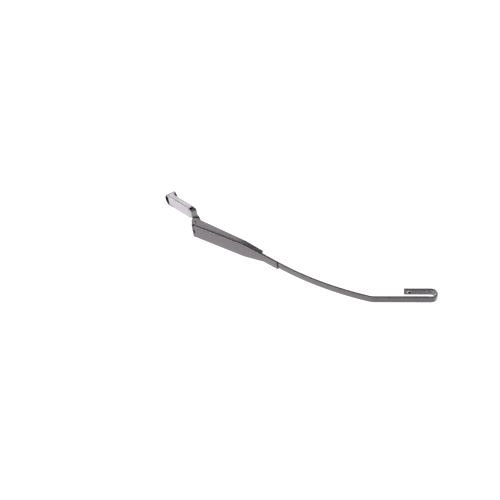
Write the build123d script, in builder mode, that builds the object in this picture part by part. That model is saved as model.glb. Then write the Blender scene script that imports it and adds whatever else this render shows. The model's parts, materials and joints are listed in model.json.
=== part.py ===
from build123d import *
from math import asin, atan2, cos, degrees, radians, sin, tan
import os

# Wiper arm, in millimetres. The origin is on the spindle axis at the underside of the head's boss.
# +Z is the spindle axis, away from the glass, and +X runs along the arm towards the hook.

# Sheet and bar stock
sheet = 1.2
sheet_inner_bend = 0.6
rod_width = 8.0
rod_thickness = 3.0
rod_edge_radius = 1.3

# Fits and running gaps
running_fit = 0.05
static_fit = 0.02
crimp_clearance = 0.1
end_gap = 0.5
ear_clearance = 0.12
lug_clearance = 0.1

# Spindle hub and floor of the head
spindle_bore_radius = 3.5
boss_radius = 5.0
boss_chamfer = 0.6
nut_seat_height = 3.5
floor_thickness = 1.7
floor_width = 13.2
floor_ramp_length = 8.9
floor_ramp_rise = 0.9
spindle_to_cover_end = 8.4

# Nut cover and its pin
cover_width = 16.2
cover_length = 36.3
cover_depth = 6.0
cover_wall = 1.2
cover_top_height = 9.0
cover_edge_radius = 1.6
cover_end_radius = 0.95
cover_end_lean = 13.4
cover_top_setback = 1.6
cover_tongue = 4.5
cover_end_drop = 4.3
cover_drop_length = 6.2
cover_drop_bow = 1.2
cover_pivot_reach = 3.0
cover_pivot_drop = 2.6
cover_pin_radius = 0.8
lug_thickness = 1.6
barrel_sink = 0.2

# Black end seal
seal_thickness = 4.4
seal_end_thickness = 0.8
seal_lip_depth = 1.8
seal_lip_width = 12.4
seal_width = 15.6
seal_top_drop = 0.5
seal_drop = 2.0
seal_foot_drop = 2.4
seal_foot_end = 0.2
seal_foot_toe = 1.1

# Crank and hinge fork of the head
cover_to_crank = 5.9
crank_top_z = 10.2
crank_lean = 2.9
crank_foot_z = 6.5
crank_width = 18.4
crank_shoulder = 2.84
crank_belly = 0.3
crank_wall = 2.6
crank_neck_share = 0.4
crank_stop_radius = 8.6
fork_width = 14.4
knuckle_radius = 4.4
fork_slot_width = 4.4
fork_slot_depth = 4.8
link_pin_lobe = 2.9

# Retainer: pressed channel, taper and crimped neck
crank_to_web = 16.76
web_end_z = 26.22
retainer_pitch = 10.34
neck_pitch = 2.93
channel_width = 19.34
channel_length = 68.0
taper_length = 25.2
neck_length = 19.3
flange_depth_at_hinge = 11.4
flange_depth_at_taper = 7.1
crimp_lip = 2.2
ear_reach = 4.8
ear_depth = 7.2
ear_corner_radius = 2.5
ear_relief_length = 4.0
ear_relief_width = 0.9
web_slot_length = 6.2
web_slot_width = 2.3
web_slot_setback = 2.3
web_slot_offset = 0.7

# Hinge pin and bushes
hinge_setback = 1.5
hinge_drop = 6.0
hinge_pin_radius = 2.25
hinge_pin_head_radius = 2.7
hinge_pin_head_height = 0.4
hinge_pin_head_taper = 40.0
rivet_dimple_radius = 1.0
rivet_dimple_depth = 1.6
bush_wall = 0.8
bush_flange_radius = 4.2
hinge_range = 65.0

# Tension spring, its link and its two pins
link_pin_radius = 1.25
link_pin_offset = 4.5
link_thickness = 3.2
link_strap = 1.8
link_clearance = 0.3
link_slot_slack = 0.55
link_eye_setback = 15.0
link_eye_drop = 8.15
link_eye_radius = 1.4
link_eye_rim = 1.3
anchor_setback = 57.0
anchor_drop = 5.0
anchor_pin_radius = 1.5
wire_radius = 0.7
coil_radius = 2.5
coil_pitch = 2.6
coil_turns = 11
wire_sides = 4

# Rod
rod_start_setback = 62.0
rod_joggle_radius = 40.0
rod_curve_length = 105.9
rod_end_pitch = 20.64
tip_bend_radius = 20.0
tip_pitch = 37.72
tip_length = 55.7
hook_gap = 7.3
hook_return_length = 26.8
hook_hole_radius = 1.6
hook_hole_setback = 5.6

os.makedirs("parts", exist_ok=True)


# Frames of the arm: s runs along the channel from the end of its web, and "up" is square to the web
def heading(pitch):
    return Vector(cos(radians(pitch)), 0, -sin(radians(pitch)))


def square_up(pitch):
    return Vector(sin(radians(pitch)), 0, cos(radians(pitch)))


cover_end_x = -spindle_to_cover_end
cover_inner_x = cover_end_x + cover_length
crank_x = cover_inner_x + cover_to_crank
crank_foot_x = crank_x + crank_lean
web_end = Vector(crank_x + crank_to_web, 0, web_end_z)
arm_along = heading(retainer_pitch)
arm_up = square_up(retainer_pitch)
arm_side = Plane(origin=web_end, x_dir=arm_along, z_dir=(0, -1, 0))
arm_top = Plane(origin=web_end, x_dir=arm_along, z_dir=arm_up)


def on_arm(s, drop):
    return web_end + arm_along * s - arm_up * drop


hinge = on_arm(hinge_setback, hinge_drop)
half_swing = radians(hinge_range / 2)
link_pin_s = hinge_setback + link_pin_offset * sin(half_swing)
link_pin_drop = hinge_drop + link_pin_offset * cos(half_swing)
link_pin_at = on_arm(link_pin_s, link_pin_drop)
pivot_x = cover_inner_x + cover_pivot_reach
pivot_z = cover_top_height - cover_pivot_drop
skirt_bottom = cover_top_height - cover_depth
floor_bottom = nut_seat_height - floor_thickness
end_slope = tan(radians(cover_end_lean))
seal_face_x = cover_end_x - end_gap
floor_end_x = seal_face_x + end_slope * (cover_top_height - floor_bottom) + static_fit
neck_width = rod_width + 2 * (sheet + 2 * crimp_clearance)
neck_depth = 2 * sheet + rod_thickness + 2 * crimp_clearance
bush_radius = hinge_pin_radius + running_fit + bush_wall
bush_flange_thickness = (channel_width - fork_width) / 2 - sheet - ear_clearance
sheet_outer_bend = sheet + sheet_inner_bend
lug_radius = cover_pivot_drop - cover_wall - lug_clearance
barrel_radius = cover_pivot_drop - cover_wall + barrel_sink
barrel_width = floor_width - 2 * (lug_thickness + lug_clearance)

# Mounting head: a casting with the spindle hub, a floor under the cover, the crank with two lugs on its
# front for the cover's pin, and the hinge fork
crank_start = Vector(crank_x, 0, crank_top_z)
crank_foot = Vector(crank_foot_x, 0, crank_foot_z)
neck_join = crank_foot + (crank_start - crank_foot) * crank_neck_share
to_hinge = hinge - crank_start
hinge_rise = atan2(to_hinge.Z, to_hinge.X)
crank_angle = degrees(hinge_rise + asin(crank_shoulder / to_hinge.length))
shoulder = hinge + square_up(-crank_angle) * crank_shoulder
belly_dir = (link_pin_at - crank_foot).normalized()
lobe_bottom = link_pin_at + Vector(belly_dir.Z, 0, -belly_dir.X) * link_pin_lobe
ramp_x = crank_x - floor_ramp_length
fork_x = link_pin_at.X - fork_slot_depth
fork_cut_length = hinge.X + 2 * knuckle_radius - fork_x
pocket_start_x = crank_foot_x + crank_wall / 2
pocket_end_x = fork_x - crank_wall
pocket_drop = crank_wall / cos(radians(crank_angle))


def pocket_roof(x):
    return crank_top_z + (x - crank_x) * tan(radians(crank_angle)) - pocket_drop


with BuildSketch(Plane.XZ) as crank_profile:
    with BuildLine():
        Polyline(
            (crank_foot.X, crank_foot.Z),
            (crank_start.X, crank_start.Z),
            (shoulder.X, shoulder.Z),
            (link_pin_at.X, link_pin_at.Z),
            (lobe_bottom.X, lobe_bottom.Z),
        )
        SagittaArc((lobe_bottom.X, lobe_bottom.Z), (crank_foot.X, crank_foot.Z), -crank_belly)
    make_face()

with BuildPart() as mounting_head:
    with BuildSketch(Plane.XZ):
        with BuildLine():
            Polyline(
                (floor_end_x, floor_bottom),
                (ramp_x, floor_bottom),
                (crank_x, floor_bottom + floor_ramp_rise),
                (crank_foot.X, crank_foot.Z),
                (crank_foot.X, neck_join.Z),
                (neck_join.X, neck_join.Z),
                (crank_x, nut_seat_height + floor_ramp_rise),
                (ramp_x, nut_seat_height),
                (floor_end_x, nut_seat_height),
                close=True,
            )
        make_face()
    extrude(amount=floor_width / 2, both=True)
    with BuildSketch(Plane.XZ):
        add(crank_profile.sketch_local)
        with Locations((hinge.X, hinge.Z)):
            Circle(crank_stop_radius, mode=Mode.SUBTRACT)
    extrude(amount=crank_width / 2, both=True)
    with BuildSketch(Plane.XZ):
        add(crank_profile.sketch_local)
        with Locations((hinge.X, hinge.Z)):
            Circle(knuckle_radius)
        with Locations((link_pin_at.X, link_pin_at.Z)):
            Circle(link_pin_lobe)
    extrude(amount=fork_width / 2, both=True)
    with BuildSketch():
        Circle(boss_radius)
    extrude(amount=nut_seat_height)
    chamfer(mounting_head.edges().filter_by(GeomType.CIRCLE).sort_by(Axis.Z)[0], boss_chamfer)
    for side in (-1, 1):
        with BuildSketch(Plane.XZ.offset(side * (floor_width - lug_thickness) / 2)):
            with Locations((pivot_x, pivot_z)):
                Circle(lug_radius)
                Rectangle(crank_foot_x - pivot_x, lug_radius, align=(Align.MIN, Align.MAX))
        extrude(amount=lug_thickness / 2, both=True)
    with BuildSketch(Plane.XZ):
        with BuildLine():
            Polyline(
                (pocket_start_x, pocket_roof(pocket_start_x)),
                (pocket_end_x, pocket_roof(pocket_end_x)),
                (pocket_end_x, 0),
                (pocket_start_x, 0),
                close=True,
            )
        make_face()
    extrude(amount=fork_width / 2 - crank_wall, both=True, mode=Mode.SUBTRACT)
    with BuildSketch(Plane.XZ):
        with Locations((fork_x, link_pin_at.Z)):
            Rectangle(fork_cut_length, 2 * web_end_z, align=(Align.MIN, Align.CENTER))
    extrude(amount=fork_slot_width / 2, both=True, mode=Mode.SUBTRACT)
    with BuildSketch(Plane.XZ):
        with Locations((hinge.X, hinge.Z)):
            Circle(bush_radius + static_fit)
        with Locations((link_pin_at.X, link_pin_at.Z)):
            Circle(link_pin_radius + static_fit)
        with Locations((pivot_x, pivot_z)):
            Circle(cover_pin_radius + static_fit)
    extrude(amount=crank_width, both=True, mode=Mode.SUBTRACT)
    with BuildSketch():
        Circle(spindle_bore_radius)
    extrude(amount=nut_seat_height, mode=Mode.SUBTRACT)
mounting_head.part.label = "mounting_head"
export_step(mounting_head.part, "parts/mounting_head.step")

# Nut cover: a shallow bright channel with a rounded tongue at the crank, deeper sides at its free end,
# a leaning end, and a barrel under the tongue that turns on the pin
deep_end_z = skirt_bottom - cover_end_drop
deep_end_x = cover_end_x + end_slope * (cover_top_height - deep_end_z)
drop_start_x = deep_end_x + cover_drop_length
with BuildPart() as tongue:
    with BuildSketch(Plane.XY.offset(cover_top_height - cover_wall)):
        with BuildLine():
            side_end = (cover_inner_x, cover_width / 2 - cover_edge_radius)
            other_end = (cover_inner_x, cover_edge_radius - cover_width / 2)
            ThreePointArc(side_end, (cover_inner_x + cover_tongue, 0), other_end)
            Line(other_end, side_end)
        make_face()
    extrude(amount=cover_wall)
    tongue_edge = tongue.edges().filter_by(GeomType.CIRCLE).sort_by(Axis.Z)[-1]
    fillet(tongue_edge, min(cover_end_radius, 0.8 * cover_wall))
with BuildPart() as nut_cover:
    with BuildSketch(Plane.YZ.offset(cover_end_x)) as cover_outline:
        with Locations((0, cover_top_height)):
            Rectangle(cover_width, cover_depth, align=(Align.CENTER, Align.MAX))
        fillet(cover_outline.vertices().group_by(Axis.Y)[-1], cover_edge_radius)
        with Locations((0, cover_top_height - cover_wall)):
            inner_width = cover_width - 2 * cover_wall
            Rectangle(inner_width, cover_depth, align=(Align.CENTER, Align.MAX), mode=Mode.SUBTRACT)
    extrude(amount=cover_length)
    add(tongue.part)
    for side in (-1, 1):
        with BuildSketch(Plane.XZ.offset(side * (cover_width - cover_wall) / 2)):
            with BuildLine():
                Polyline(
                    (drop_start_x, skirt_bottom),
                    (cover_end_x, skirt_bottom),
                    (cover_end_x, deep_end_z),
                    (deep_end_x, deep_end_z),
                )
                SagittaArc((deep_end_x, deep_end_z), (drop_start_x, skirt_bottom), cover_drop_bow)
            make_face()
        extrude(amount=cover_wall / 2, both=True)
    with BuildSketch(Plane.XZ):
        with BuildLine():
            Polyline(
                (cover_end_x, cover_top_height),
                (deep_end_x, deep_end_z),
                (cover_end_x, deep_end_z),
                close=True,
            )
        make_face()
    extrude(amount=cover_width, both=True, mode=Mode.SUBTRACT)
    with BuildSketch(Plane.XY.offset(cover_top_height)):
        with Locations((cover_end_x, 0)):
            Rectangle(2 * cover_top_setback, cover_width - 2 * cover_edge_radius)
    extrude(amount=-cover_wall, mode=Mode.SUBTRACT)
    with BuildSketch(Plane.XZ):
        with Locations((pivot_x, pivot_z)):
            Circle(barrel_radius)
    extrude(amount=barrel_width / 2, both=True)
    with BuildSketch(Plane.XZ):
        with Locations((pivot_x, pivot_z)):
            Circle(cover_pin_radius + running_fit)
    extrude(amount=barrel_width, both=True, mode=Mode.SUBTRACT)
nut_cover.part.label = "nut_cover"
export_step(nut_cover.part, "parts/nut_cover.step")

# Cover pin: a plain pin held in the head's two lugs
with BuildPart() as cover_pin:
    with BuildSketch(Plane.XZ):
        with Locations((pivot_x, pivot_z)):
            Circle(cover_pin_radius)
    extrude(amount=floor_width / 2, both=True)
cover_pin.part.label = "cover_pin"
export_step(cover_pin.part, "parts/cover_pin.step")

# End seal: a black moulding, round in plan, that closes the leaning end of the head,
# with a foot under the floor that goes round the hub
seal_top = cover_top_height - seal_top_drop
seal_lean = Vector(-end_slope, 0, 1)
seal_height = seal_top + seal_drop
seal_low_x = seal_face_x + end_slope * (cover_top_height + seal_drop)
foot_top = floor_bottom - static_fit
with BuildPart() as end_seal:
    with BuildSketch(Plane.XY.offset(-seal_drop)):
        with BuildLine():
            near_corner = (seal_low_x - seal_end_thickness, seal_width / 2)
            far_corner = (seal_low_x - seal_end_thickness, -seal_width / 2)
            ThreePointArc(near_corner, (seal_low_x - seal_thickness, 0), far_corner)
            Polyline(far_corner, (seal_low_x, -seal_width / 2), (seal_low_x, seal_width / 2), near_corner)
        make_face()
    extrude(amount=seal_height * seal_lean.length, dir=seal_lean)
    with BuildSketch(Plane.XY.offset(seal_top)):
        with Locations((seal_face_x, 0)):
            Rectangle(2 * cover_top_setback, seal_lip_width)
    extrude(amount=-seal_lip_depth)
    with BuildSketch(Plane.XZ):
        with BuildLine():
            Polyline(
                (seal_low_x - seal_end_thickness, foot_top),
                (seal_low_x - seal_end_thickness, -seal_foot_drop),
                (seal_low_x, -seal_foot_drop),
                (seal_foot_end - seal_foot_toe, 0),
                (seal_foot_end, foot_top),
                close=True,
            )
        make_face()
    extrude(amount=floor_width / 2, both=True)
    with BuildSketch(Plane.XY.offset(-seal_foot_drop)):
        Circle(boss_radius + static_fit)
    extrude(amount=seal_foot_drop + foot_top, mode=Mode.SUBTRACT)
end_seal.part.label = "end_seal"
export_step(end_seal.part, "parts/end_seal.step")

# Link pin: fixed across the hinge fork, off the hinge axis, for the spring's link
with BuildPart() as link_pin:
    with BuildSketch(Plane.XZ):
        with Locations((link_pin_at.X, link_pin_at.Z)):
            Circle(link_pin_radius)
    extrude(amount=fork_width / 2, both=True)
link_pin.part.label = "link_pin"
export_step(link_pin.part, "parts/link_pin.step")

# Hinge bushes: one flanged bush in each cheek of the fork
cheek_thickness = (fork_width - fork_slot_width) / 2
with BuildPart() as hinge_bushes:
    for side in (-1, 1):
        cheek_face = Plane(origin=hinge + Vector(0, side * fork_width / 2, 0), z_dir=(0, side, 0))
        with BuildSketch(cheek_face):
            Circle(bush_radius)
            Circle(hinge_pin_radius + running_fit, mode=Mode.SUBTRACT)
        extrude(amount=-cheek_thickness)
        with BuildSketch(cheek_face):
            Circle(bush_flange_radius)
            Circle(hinge_pin_radius + running_fit, mode=Mode.SUBTRACT)
        extrude(amount=bush_flange_thickness)
hinge_bushes.part.label = "hinge_bushes"
export_step(hinge_bushes.part, "parts/hinge_bushes.step")

# Hinge pin: a rivet in the ears of the retainer, with a low dimpled head on each side
rivet_end = channel_width / 2 + hinge_pin_head_height
with BuildPart() as hinge_pin:
    with BuildSketch(Plane(origin=hinge, z_dir=(0, 1, 0))):
        Circle(hinge_pin_radius)
    extrude(amount=rivet_end, both=True)
    for side in (-1, 1):
        with BuildSketch(Plane(origin=hinge + Vector(0, side * channel_width / 2, 0), z_dir=(0, side, 0))):
            Circle(hinge_pin_head_radius)
        extrude(amount=hinge_pin_head_height, taper=hinge_pin_head_taper)
        with BuildSketch(Plane(origin=hinge + Vector(0, side * rivet_end, 0), z_dir=(0, side, 0))):
            Circle(rivet_dimple_radius)
        extrude(amount=-rivet_dimple_depth, mode=Mode.SUBTRACT)
hinge_pin.part.label = "hinge_pin"
export_step(hinge_pin.part, "parts/hinge_pin.step")


# Retainer: sheet steel pressed to a channel that tapers to a neck crimped round the rod
def channel_section(origin, pitch, width, depth):
    with BuildSketch(Plane(origin=origin, x_dir=(0, 1, 0), z_dir=heading(pitch))) as section:
        with BuildLine():
            Polyline(
                (-width / 2, -depth),
                (-width / 2, 0),
                (width / 2, 0),
                (width / 2, -depth),
                (width / 2 - sheet, -depth),
                (width / 2 - sheet, -sheet),
                (sheet - width / 2, -sheet),
                (sheet - width / 2, -depth),
                close=True,
            )
        make_face()
        fillet(section.vertices().group_by(Axis.Y)[-1], sheet_outer_bend)
        fillet(section.vertices().group_by(Axis.Y)[-2], sheet_inner_bend)
    return section.sketch


taper_start = on_arm(channel_length, 0)
taper_end = on_arm(channel_length + taper_length, 0)
neck_end = taper_end + heading(neck_pitch) * neck_length
retainer_sections = [
    channel_section(web_end, retainer_pitch, channel_width, flange_depth_at_hinge),
    channel_section(taper_start, retainer_pitch, channel_width, flange_depth_at_taper),
    channel_section(taper_end, (retainer_pitch + neck_pitch) / 2, neck_width, neck_depth),
    channel_section(neck_end, neck_pitch, neck_width, neck_depth),
]
with BuildPart() as retainer:
    loft(retainer_sections, ruled=True)
    for side in (-1, 1):
        with BuildSketch(arm_side.offset(side * (channel_width - sheet) / 2)) as ear:
            with BuildLine():
                Polyline(
                    (sheet_outer_bend, -sheet_outer_bend),
                    (0, -sheet_outer_bend / 2),
                    (-ear_reach, -ear_depth),
                    (-ear_reach + sheet, -flange_depth_at_hinge + sheet),
                    (0, -flange_depth_at_hinge - sheet / 2),
                    (hinge_setback + hinge_pin_radius, -flange_depth_at_hinge),
                    (hinge_setback + hinge_pin_radius, -sheet_outer_bend),
                    close=True,
                )
            make_face()
            fillet(ear.vertices().sort_by(Axis.X)[:2], ear_corner_radius)
        extrude(amount=sheet / 2, both=True)
    lip_start = taper_end + heading(neck_pitch) * crimp_lip
    with BuildSketch(Plane(origin=lip_start, x_dir=(0, 1, 0), z_dir=heading(neck_pitch))):
        for side in (-1, 1):
            with Locations((side * (neck_width - sheet - crimp_lip) / 2, -neck_depth + sheet / 2)):
                Rectangle(crimp_lip + sheet, sheet)
    extrude(amount=neck_length - crimp_lip)
    with BuildSketch(arm_side):
        with Locations((hinge_setback, -hinge_drop)):
            Circle(hinge_pin_radius + static_fit)
        with Locations((anchor_setback, -anchor_drop)):
            Circle(anchor_pin_radius + static_fit)
    extrude(amount=channel_width, both=True, mode=Mode.SUBTRACT)
    with BuildSketch(arm_top):
        with Locations((web_slot_setback, web_slot_offset)):
            SlotOverall(web_slot_length, web_slot_width, rotation=90)
        for side in (-1, 1):
            with Locations((0, side * (channel_width / 2 - sheet - ear_relief_width / 2))):
                Rectangle(2 * ear_relief_length, ear_relief_width)
    extrude(amount=-2 * sheet, mode=Mode.SUBTRACT)
retainer.part.label = "retainer"
export_step(retainer.part, "parts/retainer.step")

# Rod: flat bar with round edges, crimped in the neck, curved, bent at the tip and folded into the hook
rod_drop = sheet + crimp_clearance + rod_thickness / 2
rod_start = on_arm(rod_start_setback, rod_drop)
joggle = retainer_pitch - neck_pitch
joggle_tangent = rod_joggle_radius * tan(radians(joggle / 2))
joggle_corner_s = channel_length + taper_length + rod_drop * tan(radians(joggle / 2))
first_run = joggle_corner_s - rod_start_setback - joggle_tangent
neck_run = neck_length + rod_drop * tan(radians(joggle / 2)) - joggle_tangent
curve_radius = rod_curve_length / radians(rod_end_pitch - neck_pitch)
hook_radius = (hook_gap + rod_thickness) / 2
with BuildPart() as rod:
    with BuildLine(Plane.XZ) as rod_path:
        inner_end = Line(rod_start, rod_start + arm_along * first_run)
        lift = JernArc(inner_end @ 1, inner_end % 1, rod_joggle_radius, joggle)
        in_neck = Line(lift @ 1, lift @ 1 + (lift % 1) * neck_run)
        curve = JernArc(in_neck @ 1, in_neck % 1, curve_radius, neck_pitch - rod_end_pitch)
        tip_bend = JernArc(curve @ 1, curve % 1, tip_bend_radius, rod_end_pitch - tip_pitch)
        tip = Line(tip_bend @ 1, tip_bend @ 1 + (tip_bend % 1) * tip_length)
        hook_bend = JernArc(tip @ 1, tip % 1, hook_radius, -180)
        return_leg = Line(hook_bend @ 1, hook_bend @ 1 + (hook_bend % 1) * hook_return_length)
    with BuildSketch(Plane(origin=rod_start, x_dir=(0, 1, 0), z_dir=arm_along)) as bar:
        Rectangle(rod_width, rod_thickness)
        fillet(bar.vertices(), rod_edge_radius)
    sweep()
    hook_hole = return_leg @ 1 - (return_leg % 1) * hook_hole_setback
    with BuildSketch(Plane(origin=hook_hole, x_dir=(0, 1, 0), z_dir=square_up(tip_pitch))):
        Circle(hook_hole_radius)
    extrude(amount=rod_thickness, both=True, mode=Mode.SUBTRACT)
rod.part.label = "rod"
export_step(rod.part, "parts/rod.step")

# Anchor pin: flush across the channel's flanges, for the far end of the spring
with BuildPart() as anchor_pin:
    with BuildSketch(arm_side):
        with Locations((anchor_setback, -anchor_drop)):
            Circle(anchor_pin_radius)
    extrude(amount=channel_width / 2, both=True)
anchor_pin.part.label = "anchor_pin"
export_step(anchor_pin.part, "parts/anchor_pin.step")

# Spring link: a flat steel hook, open upwards, that cradles the link pin and carries the spring in its eye
slot_half = link_pin_radius + link_clearance
cradle_drop = link_pin_drop + link_slot_slack
finger_top = -(hinge_drop + hinge_pin_radius + 2 * link_clearance)
eye_outer = link_eye_radius + link_eye_rim
shank_foot = link_pin_s + slot_half
with BuildPart() as spring_link:
    with BuildSketch(arm_side):
        with Locations((link_pin_s, -cradle_drop)):
            Circle(slot_half + link_strap)
        with BuildLine():
            Polyline(
                (link_pin_s - slot_half - link_strap, -cradle_drop),
                (link_pin_s - slot_half - link_strap, finger_top),
                (shank_foot + link_strap / 2, finger_top),
                (link_eye_setback - eye_outer, -link_eye_drop + eye_outer / 2),
                (link_eye_setback, -link_eye_drop + eye_outer),
                (link_eye_setback, -link_eye_drop - eye_outer),
                (shank_foot, -cradle_drop - link_strap),
                close=True,
            )
        make_face()
        with Locations((link_eye_setback, -link_eye_drop)):
            Circle(eye_outer)
            Circle(link_eye_radius, mode=Mode.SUBTRACT)
        with Locations((link_pin_s, -cradle_drop)):
            Circle(slot_half, mode=Mode.SUBTRACT)
            Rectangle(2 * slot_half, cradle_drop, align=(Align.CENTER, Align.MIN), mode=Mode.SUBTRACT)
        with Locations((shank_foot + link_strap / 2, finger_top)):
            Rectangle(cradle_drop, cradle_drop, align=(Align.MAX, Align.MIN), mode=Mode.SUBTRACT)
    extrude(amount=link_thickness / 2, both=True)
spring_link.part.label = "spring_link"
export_step(spring_link.part, "parts/spring_link.step")

# Tension spring: close helix with a closed loop at each end, one in the link's eye, one round the anchor pin
eye_at = on_arm(link_eye_setback, link_eye_drop)
anchor_at = on_arm(anchor_setback, anchor_drop)
spring_dir = (anchor_at - eye_at).normalized()
spring_span = (anchor_at - eye_at).length
eye_loop_radius = link_eye_rim + 2 * wire_radius
anchor_loop_radius = anchor_pin_radius + wire_radius + running_fit
coil_length = coil_pitch * coil_turns
free_span = spring_span - 2 * eye_loop_radius - anchor_loop_radius
coil_start = eye_at + spring_dir * (2 * eye_loop_radius + (free_span - coil_length) / 2)
eye_loop_at = eye_at + spring_dir * eye_loop_radius
eye_loop_end = eye_at + spring_dir * 2 * eye_loop_radius
anchor_loop_end = anchor_at - spring_dir * anchor_loop_radius
spring_up = spring_dir.cross(Vector(0, 1, 0))
with BuildPart() as tension_spring:
    with BuildLine() as coil:
        Helix(coil_pitch, coil_length, coil_radius, center=coil_start, direction=spring_dir)
    with BuildSketch(Plane(origin=coil.line @ 0, z_dir=coil.line % 0)):
        RegularPolygon(wire_radius, wire_sides)
    sweep(is_frenet=True)
    for tail, loop_end in ((coil.line @ 0, eye_loop_end), (coil.line @ 1, anchor_loop_end)):
        with BuildSketch(Plane(origin=tail, z_dir=loop_end - tail)):
            RegularPolygon(wire_radius, wire_sides)
        extrude(amount=(loop_end - tail).length)
    for centre, radius, normal in (
        (eye_loop_at, eye_loop_radius, spring_up),
        (anchor_at, anchor_loop_radius, Vector(0, 1, 0)),
    ):
        wire_at = centre + spring_dir * radius
        with BuildSketch(Plane(origin=wire_at, x_dir=spring_dir, z_dir=normal.cross(spring_dir))):
            RegularPolygon(wire_radius, wire_sides)
        revolve(axis=Axis(centre, normal))
tension_spring.part.label = "tension_spring"
export_step(tension_spring.part, "parts/tension_spring.step")
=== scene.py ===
import bmesh
import bpy
import json
import math
from mathutils import Matrix, Quaternion, Vector


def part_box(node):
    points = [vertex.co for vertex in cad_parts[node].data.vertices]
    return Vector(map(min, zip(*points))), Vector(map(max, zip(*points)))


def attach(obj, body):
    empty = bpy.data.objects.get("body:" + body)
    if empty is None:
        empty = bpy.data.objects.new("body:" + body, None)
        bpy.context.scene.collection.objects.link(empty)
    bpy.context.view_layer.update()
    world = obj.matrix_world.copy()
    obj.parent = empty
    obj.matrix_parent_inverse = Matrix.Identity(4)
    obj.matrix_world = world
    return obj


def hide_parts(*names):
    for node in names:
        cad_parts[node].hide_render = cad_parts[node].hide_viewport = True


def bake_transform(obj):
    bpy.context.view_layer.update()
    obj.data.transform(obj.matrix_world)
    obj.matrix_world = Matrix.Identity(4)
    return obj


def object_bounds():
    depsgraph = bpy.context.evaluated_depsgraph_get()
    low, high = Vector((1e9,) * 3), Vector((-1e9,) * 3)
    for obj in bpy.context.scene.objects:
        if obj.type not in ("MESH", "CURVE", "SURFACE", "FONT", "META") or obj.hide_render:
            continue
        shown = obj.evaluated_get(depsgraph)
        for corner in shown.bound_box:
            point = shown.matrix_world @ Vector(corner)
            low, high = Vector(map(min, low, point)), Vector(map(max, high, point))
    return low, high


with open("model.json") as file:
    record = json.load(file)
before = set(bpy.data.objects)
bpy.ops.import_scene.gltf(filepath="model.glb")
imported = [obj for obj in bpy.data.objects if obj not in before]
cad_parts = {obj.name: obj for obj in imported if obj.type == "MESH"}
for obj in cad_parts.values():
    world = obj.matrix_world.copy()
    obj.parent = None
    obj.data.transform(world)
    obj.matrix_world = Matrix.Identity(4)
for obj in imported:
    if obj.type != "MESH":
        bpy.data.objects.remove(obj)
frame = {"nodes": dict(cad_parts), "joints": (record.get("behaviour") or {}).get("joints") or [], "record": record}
cad_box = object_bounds()
nodes = frame["nodes"]
joints = {joint["name"]: joint for joint in frame["joints"]}

# Mounting head: the cast root of the arm, with the spindle hub, the cover's floor, the crank and the fork.
# It is an aluminium die casting, tumbled and lacquered after its flash is trimmed. The hinge pin and the
# cover's pin are fitted in it with grease.
MM = 0.001
CAST_SKIN_GRAIN = 1.5 * MM
CAST_FLOW_WIDTH = 11 * MM
# Reach and fade of the painted shade round both pivots.
HINGE_SHADE_REACH = 9.7 * MM
COVER_SHADE_REACH = 6.0 * MM
PIVOT_SHADE_FADE = 0.9 * MM
# Place and size of a painted shadow spot on each side of the fork.
FORK_SHADOW_SPOT = (45.3 * MM, 7.2 * MM, 13.6 * MM)
FORK_SHADOW_SIZE = 1.3 * MM


def linear(hex_colour):
    channels = [int(hex_colour[i:i + 2], 16) / 255 for i in (1, 3, 5)]
    return [c / 12.92 if c <= 0.04045 else ((c + 0.055) / 1.055) ** 2.4 for c in channels] + [1.0]


def plug(tree, node, inputs):
    for key, value in inputs.items():
        if isinstance(value, bpy.types.NodeSocket):
            tree.links.new(value, node.inputs[key])
        else:
            node.inputs[key].default_value = value


def add_node(tree, kind, inputs=None, **settings):
    node = tree.nodes.new(kind)
    for name, value in settings.items():
        setattr(node, name, value)
    plug(tree, node, inputs or {})
    return node


def new_finish(name):
    material = bpy.data.materials.new(name)
    material.use_nodes = True
    tree = material.node_tree
    place = add_node(tree, "ShaderNodeTexCoord").outputs["Object"]
    return material, tree, tree.nodes["Principled BSDF"], place


def dress(material, *names):
    for name in names:
        nodes[name].data.materials.clear()
        nodes[name].data.materials.append(material)


# A tumbled casting is a dull neutral grey with a soft sheen. Its skin is pebbled, at about 0.3 mm, drawn
# five times as coarse here to show, and the metal's flow leaves slow pale and dark swirls. Painted shade
# darkens it round both pivots, and a painted shadow is a black spot on the fork's sides behind the ears.
cast_aluminium, tree, shader, place = new_finish("tumbled_aluminium_casting")
skin = add_node(tree, "ShaderNodeTexNoise", {
    "Vector": place,
    "Scale": 1 / CAST_SKIN_GRAIN,
    "Detail": 3.0,
    "Roughness": 0.6,
})
flow = add_node(tree, "ShaderNodeTexNoise", {
    "Vector": place,
    "Scale": 1 / CAST_FLOW_WIDTH,
    "Detail": 2.0,
    "Distortion": 1.4,
})
pebbled = add_node(tree, "ShaderNodeMix", {
    "Factor": skin.outputs["Fac"],
    "A": linear("#908f8d"),
    "B": linear("#b1b0ac"),
}, data_type="RGBA")
flow_share = add_node(tree, "ShaderNodeMapRange", {
    "Value": flow.outputs["Fac"],
    "From Min": 0.4,
    "From Max": 0.75,
    "To Max": 0.5,
})
clean_cast = add_node(tree, "ShaderNodeMix", {
    "Factor": flow_share.outputs["Result"],
    "A": pebbled.outputs["Result"],
    "B": linear("#94938f"),
}, data_type="RGBA")
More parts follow.
